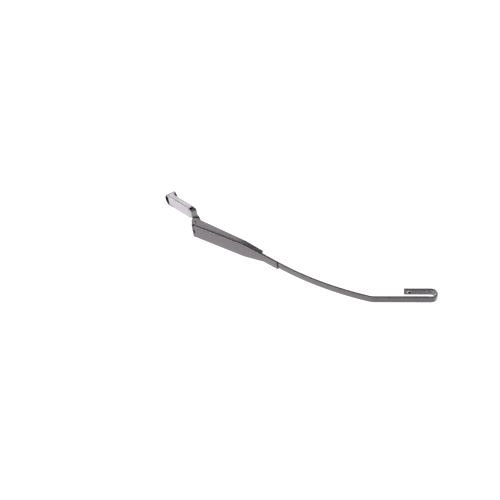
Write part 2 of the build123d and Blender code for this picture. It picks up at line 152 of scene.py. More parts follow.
# Painted shade: the casting is painted dark grey round both pivots, where the hinge recesses lie in shade; the
# skin noise varies it a little.
pivot_shades = []
for pivot, reach in (("arm_hinge", HINGE_SHADE_REACH), ("cover_hinge", COVER_SHADE_REACH)):
    x, _, z = joints[pivot]["pos_m"]
    from_pivot = add_node(tree, "ShaderNodeMapping", {
        "Vector": place,
        "Location": (-x, 0, -z),
        "Scale": (1, 0, 1),
    })
    away = add_node(tree, "ShaderNodeVectorMath", {0: from_pivot.outputs["Vector"]}, operation="LENGTH")
    pivot_shades.append(add_node(tree, "ShaderNodeMapRange", {
        "Value": away.outputs["Value"],
        "From Min": reach,
        "From Max": reach + PIVOT_SHADE_FADE,
        "To Min": 1.0,
        "To Max": 0.0,
    }).outputs["Result"])
painted_pivot_shade = add_node(tree, "ShaderNodeMath", {0: pivot_shades[0], 1: pivot_shades[1]}, operation="MAXIMUM")
shade_mottle = add_node(tree, "ShaderNodeMapRange", {
    "Value": skin.outputs["Fac"],
    "From Min": 0.3,
    "From Max": 0.6,
    "To Min": 0.86,
    "To Max": 0.97,
})
painted_pivot_shade = add_node(tree, "ShaderNodeMath", {0: painted_pivot_shade.outputs[0], 1: shade_mottle.outputs["Result"]},
                  operation="MULTIPLY")
cast_colour = add_node(tree, "ShaderNodeMix", {
    "Factor": painted_pivot_shade.outputs[0],
    "A": clean_cast.outputs["Result"],
    "B": linear("#5f5e5b"),
}, data_type="RGBA")
# Painted shadow: a black spot on each side of the fork behind the ears stands in for the shadow in the gap there.
either_side = add_node(tree, "ShaderNodeVectorMath", {0: place}, operation="ABSOLUTE")
from_fork_shadow = add_node(tree, "ShaderNodeVectorMath", {0: either_side.outputs["Vector"], 1: FORK_SHADOW_SPOT},
                     operation="DISTANCE")
fork_shadow = add_node(tree, "ShaderNodeMapRange", {
    "Value": from_fork_shadow.outputs["Value"],
    "From Min": FORK_SHADOW_SIZE,
    "From Max": 1.5 * FORK_SHADOW_SIZE,
    "To Min": 1.0,
    "To Max": 0.0,
})
cast_colour = add_node(tree, "ShaderNodeMix", {
    "Factor": fork_shadow.outputs["Result"],
    "A": cast_colour.outputs["Result"],
    "B": linear("#0e0d0d"),
}, data_type="RGBA")
cast_rough = add_node(tree, "ShaderNodeMapRange", {
    "Value": skin.outputs["Fac"],
    "From Min": 0.3,
    "From Max": 0.7,
    "To Min": 0.44,
    "To Max": 0.6,
})
cast_relief = add_node(tree, "ShaderNodeBump", {
    "Height": skin.outputs["Fac"],
    "Strength": 0.5,
    "Distance": 0.03 * MM,
})
plug(tree, shader, {
    "Base Color": cast_colour.outputs["Result"],
    "Roughness": cast_rough.outputs["Result"],
    "Normal": cast_relief.outputs["Normal"],
    "Metallic": 0.5,
})
dress(cast_aluminium, "mounting_head")

# End seal: the black moulding that closes the open end of the head and reaches round under its floor.
# It is moulded in rubber filled with carbon black, pressed on the hub and held by its lip under the cover.
RUBBER_GRAIN = 0.8 * MM
RUBBER_BLOOM = 9 * MM
# Height and fade of the pale foot: dust, and painted light.
PALE_FOOT_TOP = 1.2 * MM
PALE_FOOT_FADE = 1.4 * MM

# Filled rubber swallows nearly all light. The eroded mould leaves a fine grain, about 0.1 mm, drawn coarser
# to show. Wax that comes to the surface leaves a faint grey bloom in patches. Its foot is painted pale below
# a height, as road dust and as painted light that makes up for the shade the foot lies in.
black_rubber, tree, shader, place = new_finish("moulded_carbon_black_rubber")
eroded = add_node(tree, "ShaderNodeTexNoise", {
    "Vector": place,
    "Scale": 1 / RUBBER_GRAIN,
    "Detail": 2.0,
})
bloom = add_node(tree, "ShaderNodeTexNoise", {
    "Vector": place,
    "Scale": 1 / RUBBER_BLOOM,
    "Detail": 3.0,
})
bloom_share = add_node(tree, "ShaderNodeMapRange", {
    "Value": bloom.outputs["Fac"],
    "From Min": 0.45,
    "From Max": 0.75,
})
rubber_colour = add_node(tree, "ShaderNodeMix", {
    "Factor": bloom_share.outputs["Result"],
    "A": linear("#070707"),
    "B": linear("#151514"),
}, data_type="RGBA")
height = add_node(tree, "ShaderNodeSeparateXYZ", {0: place}).outputs["Z"]
# Dust and painted light: below a height the foot is painted pale, paler than dust alone, to make up for the shade
# it lies in.
dust_and_light = add_node(tree, "ShaderNodeMapRange", {
    "Value": height,
    "From Min": PALE_FOOT_TOP - PALE_FOOT_FADE,
    "From Max": PALE_FOOT_TOP,
    "To Min": 0.9,
    "To Max": 0.0,
})
rubber_colour = add_node(tree, "ShaderNodeMix", {
    "Factor": dust_and_light.outputs["Result"],
    "A": rubber_colour.outputs["Result"],
    "B": linear("#94888b"),
}, data_type="RGBA")
rubber_rough = add_node(tree, "ShaderNodeMapRange", {
    "Value": eroded.outputs["Fac"],
    "From Min": 0.3,
    "From Max": 0.7,
    "To Min": 0.66,
    "To Max": 0.84,
})
rubber_relief = add_node(tree, "ShaderNodeBump", {
    "Height": eroded.outputs["Fac"],
    "Strength": 0.6,
    "Distance": 0.02 * MM,
})
plug(tree, shader, {
    "Base Color": rubber_colour.outputs["Result"],
    "Roughness": rubber_rough.outputs["Result"],
    "Normal": rubber_relief.outputs["Normal"],
    "IOR": 1.52,
    "Specular IOR Level": 0.1,
})
dress(black_rubber, "end_seal")

# Nut cover: the light silver lid over the spindle nut, which swings up on its pin.
# It is drawn from thin aluminium sheet, satin etched and clear anodised. Its tongue is the finger grip.
DRAW_LINE_WIDTH = 0.7 * MM
DRAW_LINE_LENGTH = 26 * MM
SMUDGE_WIDTH = 8 * MM
TONGUE_CENTRE_X = 24.55 * MM
# Radius and width of the painted shade line inside the tongue's edge.
RIM_SHADE_RADIUS = 6.1 * MM
RIM_SHADE_WIDTH = 0.7 * MM
SEAL_OVERLAP = 4.5 * MM
GREY_CORNER_SIZE = 5.0 * MM
RIM_AND_CORNER_GREY = "#95929a"

# Anodised aluminium is pale with a faint violet cast and a satin sheen. The draw leaves long faint lines
# along the lid, about 0.1 mm apart, drawn coarser to show, and handling leaves soft smudges that only change
# the sheen. A grey line of painted shade, standing in for the shade of a turned rim, runs inside the
# tongue's round edge past its middle, and one corner beside the seal is painted greyer.
satin_silver, tree, shader, place = new_finish("satin_anodised_aluminium")
along_draw = add_node(tree, "ShaderNodeMapping", {
    "Vector": place,
    "Scale": (1 / DRAW_LINE_LENGTH, 1 / DRAW_LINE_WIDTH, 1 / DRAW_LINE_WIDTH),
})
draw_lines = add_node(tree, "ShaderNodeTexNoise", {
    "Vector": along_draw.outputs["Vector"],
    "Scale": 1.0,
    "Detail": 2.0,
})
smudges = add_node(tree, "ShaderNodeTexNoise", {
    "Vector": place,
    "Scale": 1 / SMUDGE_WIDTH,
    "Detail": 3.0,
})
silver_colour = add_node(tree, "ShaderNodeMix", {
    "Factor": draw_lines.outputs["Fac"],
    "A": linear("#d4ced4"),
    "B": linear("#e5dfe5"),
}, data_type="RGBA")
# Painted shade: a grey line inside the tongue's round edge stands in for the shade of a turned rim.
from_tongue = add_node(tree, "ShaderNodeMapping", {
    "Vector": place,
    "Location": (-TONGUE_CENTRE_X, 0, 0),
    "Scale": (1, 1, 0),
})
tongue_away = add_node(tree, "ShaderNodeVectorMath", {0: from_tongue.outputs["Vector"]}, operation="LENGTH")
off_line = add_node(tree, "ShaderNodeMath", {0: tongue_away.outputs["Value"], 1: RIM_SHADE_RADIUS},
                    operation="SUBTRACT")
off_line = add_node(tree, "ShaderNodeMath", {0: off_line.outputs[0]}, operation="ABSOLUTE")
rim_shade_line = add_node(tree, "ShaderNodeMapRange", {
    "Value": off_line.outputs[0],
    "From Max": RIM_SHADE_WIDTH,
    "To Min": 1.0,
    "To Max": 0.0,
})
past_centre = add_node(tree, "ShaderNodeSeparateXYZ", {0: from_tongue.outputs["Vector"]}).outputs["X"]
on_tongue = add_node(tree, "ShaderNodeMapRange", {
    "Value": past_centre,
    "From Max": 0.4 * RIM_SHADE_RADIUS,
    "To Max": 0.75,
})
rim_shade_line = add_node(tree, "ShaderNodeMath", {
    0: rim_shade_line.outputs["Result"],
    1: on_tongue.outputs["Result"],
}, operation="MULTIPLY")
silver_colour = add_node(tree, "ShaderNodeMix", {
    "Factor": rim_shade_line.outputs[0],
    "A": silver_colour.outputs["Result"],
    "B": linear(RIM_AND_CORNER_GREY),
}, data_type="RGBA")
# One corner of the lid beside the seal is painted greyer, fading out over a few millimetres.
cover_low, cover_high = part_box("nut_cover")
seal_corner = (cover_low.x + SEAL_OVERLAP, cover_low.y, cover_high.z)
from_seal_corner = add_node(tree, "ShaderNodeVectorMath", {0: place, 1: seal_corner}, operation="DISTANCE")
grey_corner = add_node(tree, "ShaderNodeMapRange", {
    "Value": from_seal_corner.outputs["Value"],
    "From Min": 0.7 * GREY_CORNER_SIZE,
    "From Max": GREY_CORNER_SIZE,
    "To Min": 0.8,
    "To Max": 0.0,
})
silver_colour = add_node(tree, "ShaderNodeMix", {
    "Factor": grey_corner.outputs["Result"],
    "A": silver_colour.outputs["Result"],
    "B": linear(RIM_AND_CORNER_GREY),
}, data_type="RGBA")
silver_rough = add_node(tree, "ShaderNodeMapRange", {
    "Value": smudges.outputs["Fac"],
    "From Min": 0.35,
    "From Max": 0.7,
    "To Min": 0.38,
    "To Max": 0.5,
})
silver_relief = add_node(tree, "ShaderNodeBump", {
    "Height": draw_lines.outputs["Fac"],
    "Strength": 0.4,
    "Distance": 0.01 * MM,
})
plug(tree, shader, {
    "Base Color": silver_colour.outputs["Result"],
    "Roughness": silver_rough.outputs["Result"],
    "Normal": silver_relief.outputs["Normal"],
    "Metallic": 0.85,
})
dress(satin_silver, "nut_cover")

# Pins and spring link: the cover's pin, the link's pin across the fork, and the flat hook that draws on the
# spring. They are turned or stamped from steel and barrel plated with bright zinc, and the two pins are put
# in with grease.
PLATING_CLOUD = 1.8 * MM

# Zinc plating is a cool pale metal. Barrel plating leaves it cloudy, and its clear passivation turns slightly
# straw coloured in places.
plated_steel, tree, shader, place = new_finish("zinc_plated_steel")
clouds = add_node(tree, "ShaderNodeTexVoronoi", {
    "Vector": place,
    "Scale": 1 / PLATING_CLOUD,
    "Smoothness": 0.8,
}, feature="SMOOTH_F1")
tarnish = add_node(tree, "ShaderNodeTexNoise", {
    "Vector": place,
    "Scale": 1 / (4 * PLATING_CLOUD),
    "Detail": 3.0,
})
cloudy_zinc = add_node(tree, "ShaderNodeMix", {
    "Factor": clouds.outputs["Distance"],
    "A": linear("#a4a5aa"),
    "B": linear("#7d7e83"),
}, data_type="RGBA")
straw_share = add_node(tree, "ShaderNodeMapRange", {
    "Value": tarnish.outputs["Fac"],
    "From Min": 0.5,
    "From Max": 0.7,
    "To Max": 0.5,
})
zinc_colour = add_node(tree, "ShaderNodeMix", {
    "Factor": straw_share.outputs["Result"],
    "A": cloudy_zinc.outputs["Result"],
    "B": linear("#a59f8b"),
}, data_type="RGBA")
zinc_rough = add_node(tree, "ShaderNodeMapRange", {
    "Value": clouds.outputs["Distance"],
    "To Min": 0.26,
    "To Max": 0.44,
})
plug(tree, shader, {
    "Base Color": zinc_colour.outputs["Result"],
    "Roughness": zinc_rough.outputs["Result"],
    "Metallic": 1.0,
})
dress(plated_steel, "spring_link")

# Grease that has taken up dirt hides the plating of the pins under a dark film, thinner where it is wiped.
FILM_PATCH = 1.2 * MM
greased_steel, tree, shader, place = new_finish("greased_plated_steel")
film = add_node(tree, "ShaderNodeTexNoise", {
    "Vector": place,
    "Scale": 1 / FILM_PATCH,
    "Detail": 2.0,
})
film_colour = add_node(tree, "ShaderNodeMix", {
    "Factor": film.outputs["Fac"],
    "A": linear("#2c2b2a"),
    "B": linear("#4b4a49"),
}, data_type="RGBA")
film_rough = add_node(tree, "ShaderNodeMapRange", {
    "Value": film.outputs["Fac"],
    "From Min": 0.3,
    "From Max": 0.7,
    "To Min": 0.4,
    "To Max": 0.58,
})
plug(tree, shader, {
    "Base Color": film_colour.outputs["Result"],
    "Roughness": film_rough.outputs["Result"],
    "Metallic": 0.4,
})
dress(greased_steel, "cover_pin", "link_pin")

# Hinge bushes: a flanged bush in each cheek of the fork, on which the arm turns.
# They are moulded in black acetal and pressed in, with the flange as a washer against the ear.
MOULD_SWIRL = 2.2 * MM

# Acetal is a waxy black. Its smooth skin has faint swirls from the gate.
black_acetal, tree, shader, place = new_finish("moulded_black_acetal")
swirl = add_node(tree, "ShaderNodeTexNoise", {
    "Vector": place,
    "Scale": 1 / MOULD_SWIRL,
    "Detail": 2.0,
    "Distortion": 2.0,
})
acetal_colour = add_node(tree, "ShaderNodeMix", {
    "Factor": swirl.outputs["Fac"],
    "A": linear("#0d0d0e"),
    "B": linear("#1d1d1e"),
}, data_type="RGBA")
acetal_rough = add_node(tree, "ShaderNodeMapRange", {
    "Value": swirl.outputs["Fac"],
    "From Min": 0.3,
    "From Max": 0.7,
    "To Min": 0.36,
    "To Max": 0.5,
})
plug(tree, shader, {
    "Base Color": acetal_colour.outputs["Result"],
    "Roughness": acetal_rough.outputs["Result"],
    "IOR": 1.48,
    "Specular IOR Level": 0.3,
})
dress(black_acetal, "hinge_bushes")

# Retainer and rod: the pressed steel channel with its ears and taper, and the flat bar crimped in its neck.
# They are riveted, crimped and then painted together, so the rivet and the anchor pin are painted too.
FLAKE_SIZE = 0.9 * MM
PEEL_WIDTH = 2.6 * MM
SCUFF_REACH = 9.0 * MM
SCUFF_LENGTH = 6 * MM
SCUFF_WIDTH = 0.8 * MM
HOOK_HOLE = Vector((290.81, 0, -47.98)) * MM
HOLE_WALL_REACH = 2.2 * MM
HOLE_RIM_REACH = 2.9 * MM
# Painted highlights: a pale spot on one side of the hook hole's rim and pale lines along the edges of the hook's
# bend.
RIM_HIGHLIGHT_SPOT = HOOK_HOLE + Vector((-0.5, 0.6, 0.35)) * MM
EDGE_HIGHLIGHT_RADIUS = 4.9 * MM
EDGE_HIGHLIGHT_OFFSET = 3.8 * MM
EDGE_HIGHLIGHT_WIDTH = 1.3 * MM
HIGHLIGHT_COLOUR = "#e2e0e3"
# Place and size of the painted shade in the web's corners above the ears.
WEB_CORNER = (52.2 * MM, 9.67 * MM, 25.3 * MM)
CORNER_SHADE_SIZE = 1.9 * MM

# Grey metallic enamel is semi-gloss. Its aluminium flake, some 0.05 mm across, is drawn far coarser to show,
# and the stoved film flows to a slight orange peel. The blade's adapter rubs pale scuffs on the hook. Painted
# highlights lie pale along the edges of the hook's bend and on one side of its hole's rim, and painted shade
# darkens the hole and the web's corners above the ears.
grey_enamel, tree, shader, place = new_finish("grey_metallic_stoving_enamel")
flake = add_node(tree, "ShaderNodeTexVoronoi", {"Vector": place, "Scale": 1 / FLAKE_SIZE})
flake_tone = add_node(tree, "ShaderNodeSeparateColor", {"Color": flake.outputs["Color"]})
peel = add_node(tree, "ShaderNodeTexNoise", {
    "Vector": place,
    "Scale": 1 / PEEL_WIDTH,
    "Detail": 1.0,
})
enamel = add_node(tree, "ShaderNodeMix", {
    "Factor": flake_tone.outputs["Red"],
    "A": linear("#7c777b"),
    "B": linear("#868185"),
}, data_type="RGBA")
mounts = {mount["name"]: mount for mount in frame["record"]["mounts"]}
hook_x, _, hook_z = mounts["blade_hook"]["pos_m"]
from_hook = add_node(tree, "ShaderNodeMapping", {
    "Vector": place,
    "Location": (-hook_x, 0, -hook_z),
    "Scale": (1, 0, 1),
})
hook_away = add_node(tree, "ShaderNodeVectorMath", {0: from_hook.outputs["Vector"]}, operation="LENGTH")
rubbed = add_node(tree, "ShaderNodeMapRange", {
    "Value": hook_away.outputs["Value"],
    "From Min": 0.6 * SCUFF_REACH,
    "From Max": SCUFF_REACH,
    "To Min": 1.0,
    "To Max": 0.0,
})
across_hook = add_node(tree, "ShaderNodeMapping", {
    "Vector": place,
    "Scale": (1 / SCUFF_WIDTH, 1 / SCUFF_LENGTH, 1 / SCUFF_WIDTH),
})
scuffs = add_node(tree, "ShaderNodeTexNoise", {
    "Vector": across_hook.outputs["Vector"],
    "Scale": 1.0,
    "Detail": 2.0,
})
scuff_lines = add_node(tree, "ShaderNodeMapRange", {
    "Value": scuffs.outputs["Fac"],
    "From Min": 0.55,
    "From Max": 0.7,
    "To Max": 0.6,
})
scuffed = add_node(tree, "ShaderNodeMath", {0: rubbed.outputs["Result"], 1: scuff_lines.outputs["Result"]},
                   operation="MULTIPLY")
enamel_colour = add_node(tree, "ShaderNodeMix", {
    "Factor": scuffed.outputs[0],
    "A": enamel.outputs["Result"],
    "B": linear("#b6b4b8"),
}, data_type="RGBA")
from_hole = add_node(tree, "ShaderNodeVectorMath", {0: place, 1: HOOK_HOLE}, operation="DISTANCE")
# Painted highlight: one side of the hook hole's rim is painted pale.
from_rim = add_node(tree, "ShaderNodeVectorMath", {0: place, 1: RIM_HIGHLIGHT_SPOT}, operation="DISTANCE")
rim_highlight = add_node(tree, "ShaderNodeMapRange", {
    "Value": from_rim.outputs["Value"],
    "From Min": HOLE_WALL_REACH,
    "From Max": HOLE_RIM_REACH,
    "To Min": 1.0,
    "To Max": 0.0,
})
enamel_colour = add_node(tree, "ShaderNodeMix", {
    "Factor": rim_highlight.outputs["Result"],
    "A": enamel_colour.outputs["Result"],
    "B": linear(HIGHLIGHT_COLOUR),
}, data_type="RGBA")
# Painted highlight: a pale line along each edge of the hook's bend.
either_side = add_node(tree, "ShaderNodeVectorMath", {0: place}, operation="ABSOLUTE")
off_middle = add_node(tree, "ShaderNodeSeparateXYZ", {0: either_side.outputs["Vector"]}).outputs["Y"]
round_bend = add_node(tree, "ShaderNodeCombineXYZ", {"X": hook_away.outputs["Value"], "Y": off_middle})
from_edge = add_node(tree, "ShaderNodeVectorMath", {
    0: round_bend.outputs["Vector"],
    1: (EDGE_HIGHLIGHT_RADIUS, EDGE_HIGHLIGHT_OFFSET, 0),
}, operation="DISTANCE")
edge_highlight = add_node(tree, "ShaderNodeMapRange", {
    "Value": from_edge.outputs["Value"],
    "From Max": EDGE_HIGHLIGHT_WIDTH,
    "To Min": 1.0,
    "To Max": 0.0,
})
past_hook = add_node(tree, "ShaderNodeSeparateXYZ", {0: from_hook.outputs["Vector"]}).outputs["X"]
on_bend = add_node(tree, "ShaderNodeMapRange", {
    "Value": past_hook,
    "From Max": 2 * EDGE_HIGHLIGHT_WIDTH,
})
edge_highlight = add_node(tree, "ShaderNodeMath", {0: edge_highlight.outputs["Result"], 1: on_bend.outputs["Result"]},
                     operation="MULTIPLY")
enamel_colour = add_node(tree, "ShaderNodeMix", {
    "Factor": edge_highlight.outputs[0],
    "A": enamel_colour.outputs["Result"],
    "B": linear(HIGHLIGHT_COLOUR),
}, data_type="RGBA")
# Painted shade: the hook's hole and the web's corners above the ears are painted near black.
from_corner = add_node(tree, "ShaderNodeVectorMath", {0: either_side.outputs["Vector"], 1: WEB_CORNER},
                       operation="DISTANCE")
hole_shade = add_node(tree, "ShaderNodeMath", {0: from_hole.outputs["Value"], 1: HOLE_WALL_REACH},
                   operation="LESS_THAN")
corner_shade = add_node(tree, "ShaderNodeMapRange", {
    "Value": from_corner.outputs["Value"],
    "From Min": 0.6 * CORNER_SHADE_SIZE,
    "From Max": CORNER_SHADE_SIZE,
    "To Min": 0.9,
    "To Max": 0.0,
})
painted_shade = add_node(tree, "ShaderNodeMath", {0: hole_shade.outputs[0], 1: corner_shade.outputs["Result"]},
                 operation="MAXIMUM")
enamel_colour = add_node(tree, "ShaderNodeMix", {
    "Factor": painted_shade.outputs[0],
    "A": enamel_colour.outputs["Result"],
    "B": linear("#131212"),
}, data_type="RGBA")
enamel_rough = add_node(tree, "ShaderNodeMapRange", {
    "Value": peel.outputs["Fac"],
    "From Min": 0.3,
    "From Max": 0.7,
    "To Min": 0.26,
    "To Max": 0.33,
})
enamel_relief = add_node(tree, "ShaderNodeBump", {
    "Height": peel.outputs["Fac"],
    "Strength": 0.4,
    "Distance": 0.03 * MM,
})
plug(tree, shader, {
    "Base Color": enamel_colour.outputs["Result"],
    "Roughness": enamel_rough.outputs["Result"],
    "Normal": enamel_relief.outputs["Normal"],
    "Metallic": 0.8,
    "Coat Weight": 0.35,
    "Coat Roughness": 0.1,
})
dress(grey_enamel, "rod", "hinge_pin", "anchor_pin")

# The channel's flanges end in a step at the end of the taper, and the neck beyond it is an open crimp: its
# sides reach only half way down the bar. A wedge is cut from a copy of the channel for that.
CHANNEL_PITCH = math.radians(10.34)
NECK_PITCH = math.radians(2.93)
HINGE_SETBACK = 1.5 * MM
HINGE_DROP = 6.0 * MM
TAPER_END = 93.2 * MM
NECK_LENGTH = 19.3 * MM
NECK_SIDE_DEPTH = 2.8 * MM
STEP_SETBACK = 3.6 * MM
STEP_RUN = 1.6 * MM
STEP_DEPTH = 8.0 * MM
TRIM_HALF_WIDTH = 9.0 * MM
WELD = 0.001 * MM
SLIVER = 0.005 * MM
SHARP_ANGLE = math.radians(28)


def along(pitch):
    return Vector((math.cos(pitch), 0, -math.sin(pitch)))


def square_to(pitch):
    return Vector((math.sin(pitch), 0, math.cos(pitch)))


hinge = Vector(joints["arm_hinge"]["pos_m"])
web_end = hinge - along(CHANNEL_PITCH) * HINGE_SETBACK + square_to(CHANNEL_PITCH) * HINGE_DROP
step_top = web_end + along(CHANNEL_PITCH) * (TAPER_END - STEP_SETBACK + STEP_RUN)
taper_end = web_end + along(CHANNEL_PITCH) * TAPER_END
past_neck = taper_end + along(NECK_PITCH) * (NECK_LENGTH + STEP_RUN)
trim_outline = [
    step_top - along(CHANNEL_PITCH) * STEP_RUN - square_to(CHANNEL_PITCH) * STEP_DEPTH,
    step_top - square_to(CHANNEL_PITCH) * NECK_SIDE_DEPTH,
    taper_end - square_to((CHANNEL_PITCH + NECK_PITCH) / 2) * NECK_SIDE_DEPTH,
    past_neck - square_to(NECK_PITCH) * NECK_SIDE_DEPTH,
    past_neck - square_to(NECK_PITCH) * STEP_DEPTH,
]
wedge = bmesh.new()
wedge_side = wedge.faces.new([wedge.verts.new(p - Vector((0, TRIM_HALF_WIDTH, 0))) for p in trim_outline])
grown = bmesh.ops.extrude_face_region(wedge, geom=[wedge_side])["geom"]
moved = [part for part in grown if isinstance(part, bmesh.types.BMVert)]
bmesh.ops.translate(wedge, verts=moved, vec=(0, 2 * TRIM_HALF_WIDTH, 0))
bmesh.ops.recalc_face_normals(wedge, faces=wedge.faces)
trimmer = bpy.data.objects.new("neck_trimmer", bpy.data.meshes.new("neck_trimmer"))
wedge.to_mesh(trimmer.data)
wedge.free()
bpy.context.scene.collection.objects.link(trimmer)
pressing = bmesh.new()
pressing.from_mesh(nodes["retainer"].data)
bmesh.ops.remove_doubles(pressing, verts=pressing.verts, dist=WELD)
channel = bpy.data.objects.new("pressed_channel", bpy.data.meshes.new("pressed_channel"))
pressing.to_mesh(channel.data)
pressing.free()
bpy.context.scene.collection.objects.link(channel)
trim = channel.modifiers.new("trim", "BOOLEAN")
trim.object = trimmer
trim.operation = "DIFFERENCE"
trim.solver = "EXACT"
trimmed = bpy.data.meshes.new_from_object(channel.evaluated_get(bpy.context.evaluated_depsgraph_get()))
channel.modifiers.clear()
channel.data = trimmed
bpy.data.objects.remove(trimmer)
cut = bmesh.new()
cut.from_mesh(trimmed)
bmesh.ops.triangulate(cut, faces=cut.faces)
bmesh.ops.dissolve_degenerate(cut, edges=cut.edges, dist=SLIVER)
cut.to_mesh(trimmed)
cut.free()
for face in trimmed.polygons:
    face.use_smooth = True
trimmed.set_sharp_from_angle(angle=SHARP_ANGLE)
trimmed.materials.clear()
trimmed.materials.append(grey_enamel)
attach(channel, "arm")
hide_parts("retainer")

# Tension spring: open coils along the channel, with a loop in the link's eye and one round the anchor pin.
# It is wound cold from round drawn spring wire and oiled. The coils are made along Z, then turned into place.
WIRE_RADIUS = 0.7 * MM
COIL_RADIUS = 2.5 * MM
COIL_PITCH = 2.6 * MM
COIL_TURNS = 11
EYE_LOOP_RADIUS = 2.7 * MM
ANCHOR_LOOP_RADIUS = 2.25 * MM
SPRING_SPAN = 42.118 * MM
WIRE_SIDES = 12
STEPS_PER_TURN = 28
LOOP_STEPS = 36
OIL_PATCH = 3.5 * MM

# Drawn wire is a dark steel grey with a soft sheen, deeper where the oil lies.
spring_wire, tree, shader, place = new_finish("oiled_drawn_spring_wire")
oil = add_node(tree, "ShaderNodeTexNoise", {
    "Vector": place,
    "Scale": 1 / OIL_PATCH,
    "Detail": 3.0,
})
wire_colour = add_node(tree, "ShaderNodeMix", {
    "Factor": oil.outputs["Fac"],
    "A": linear("#7d7e82"),
    "B": linear("#4f4f52"),
}, data_type="RGBA")
wire_rough = add_node(tree, "ShaderNodeMapRange", {
    "Value": oil.outputs["Fac"],
    "From Min": 0.3,
    "From Max": 0.7,
    "To Min": 0.42,
    "To Max": 0.26,
})
plug(tree, shader, {
    "Base Color": wire_colour.outputs["Result"],
    "Roughness": wire_rough.outputs["Result"],
    "Metallic": 1.0,
    "Coat Weight": 0.25,
})

coil_length = COIL_PITCH * COIL_TURNS
eye_neck = 2 * EYE_LOOP_RADIUS
anchor_neck = SPRING_SPAN - ANCHOR_LOOP_RADIUS
coil_start = (eye_neck + anchor_neck - coil_length) / 2
spring_sizes = {
    "Wire Radius": WIRE_RADIUS,
    "Coil Radius": COIL_RADIUS,
    "Turns": float(COIL_TURNS),
    "Coil Length": coil_length,
    "Coil Start": coil_start,
    "Coil End": coil_start + coil_length,
    "Eye Loop": EYE_LOOP_RADIUS,
    "Eye Neck": eye_neck,
    "Anchor Loop": ANCHOR_LOOP_RADIUS,
    "Anchor Neck": anchor_neck,
    "Span": SPRING_SPAN,
}
tree = bpy.data.node_groups.new("wound_wire", "GeometryNodeTree")
for name in spring_sizes:
    tree.interface.new_socket(name, in_out="INPUT", socket_type="NodeSocketFloat")
tree.interface.new_socket("Wire", in_out="INPUT", socket_type="NodeSocketMaterial")
tree.interface.new_socket("Geometry", in_out="OUTPUT", socket_type="NodeSocketGeometry")
given = add_node(tree, "NodeGroupInput").outputs
helix = add_node(tree, "GeometryNodeCurveSpiral", {
    "Resolution": STEPS_PER_TURN,
    "Rotations": given["Turns"],
    "Start Radius": given["Coil Radius"],
    "End Radius": given["Coil Radius"],
    "Height": given["Coil Length"],
})
coil_foot = add_node(tree, "ShaderNodeCombineXYZ", {"Z": given["Coil Start"]})
coil = add_node(tree, "GeometryNodeTransform", {
    "Geometry": helix.outputs["Curve"],
    "Translation": coil_foot.outputs["Vector"],
})
wire_runs = [coil]
for coil_side, neck in (("Coil Start", "Eye Neck"), ("Coil End", "Anchor Neck")):
    leaves_coil = add_node(tree, "ShaderNodeCombineXYZ", {"X": given["Coil Radius"], "Z": given[coil_side]})
    meets_loop = add_node(tree, "ShaderNodeCombineXYZ", {"Z": given[neck]})
    wire_runs.append(add_node(tree, "GeometryNodeCurvePrimitiveLine", {
        "Start": leaves_coil.outputs["Vector"],
        "End": meets_loop.outputs["Vector"],
    }))
for loop, centre, turn in (
    ("Eye Loop", "Eye Loop", (0, math.pi / 2, 0)),
    ("Anchor Loop", "Span", (math.pi / 2, 0, 0)),
):
    ring = add_node(tree, "GeometryNodeCurvePrimitiveCircle", {
        "Resolution": LOOP_STEPS,
        "Radius": given[loop],
    })
    ring_centre = add_node(tree, "ShaderNodeCombineXYZ", {"Z": given[centre]})
    wire_runs.append(add_node(tree, "GeometryNodeTransform", {
        "Geometry": ring.outputs["Curve"],
        "Translation": ring_centre.outputs["Vector"],
        "Rotation": turn,
    }))
path = add_node(tree, "GeometryNodeJoinGeometry")
for run in wire_runs:
    plug(tree, path, {"Geometry": run.outputs[0]})
section = add_node(tree, "GeometryNodeCurvePrimitiveCircle", {
    "Resolution": WIRE_SIDES,
    "Radius": given["Wire Radius"],
})
wire = add_node(tree, "GeometryNodeCurveToMesh", {
    "Curve": path.outputs["Geometry"],
    "Profile Curve": section.outputs["Curve"],
    "Fill Caps": True,
})
whole = add_node(tree, "GeometryNodeRealizeInstances", {"Geometry": wire.outputs["Mesh"]})
oiled = add_node(tree, "GeometryNodeSetMaterial", {
    "Geometry": whole.outputs["Geometry"],
    "Material": given["Wire"],
})
add_node(tree, "NodeGroupOutput", {"Geometry": oiled.outputs["Geometry"]})

winder = bpy.data.objects.new("spring_winder", bpy.data.meshes.new("spring_winder"))
bpy.context.scene.collection.objects.link(winder)
winding = winder.modifiers.new("winding", "NODES")
winding.node_group = tree
for item in tree.interface.items_tree:
    if item.in_out == "INPUT":
        winding[item.identifier] = spring_sizes.get(item.name, spring_wire)
evaluated = winder.evaluated_get(bpy.context.evaluated_depsgraph_get())
wound = bpy.data.meshes.new_from_object(evaluated)
bpy.data.objects.remove(winder)
spring_along = Vector(joints["link_slide"]["axis"]).normalized()
across = Vector((0, 1, 0))
spring_up = spring_along.cross(across)
low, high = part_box("anchor_pin")
anchor = (low + high) / 2
eye = anchor - spring_along * SPRING_SPAN
turned = Matrix((spring_up, across, spring_along)).transposed().to_4x4()
wound.transform(Matrix.Translation(eye) @ turned)
wound.flip_normals()
for face in wound.polygons:
    face.use_smooth = True
spring = bpy.data.objects.new("wound_spring", wound)
bpy.context.scene.collection.objects.link(spring)
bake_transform(spring)
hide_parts("tension_spring")

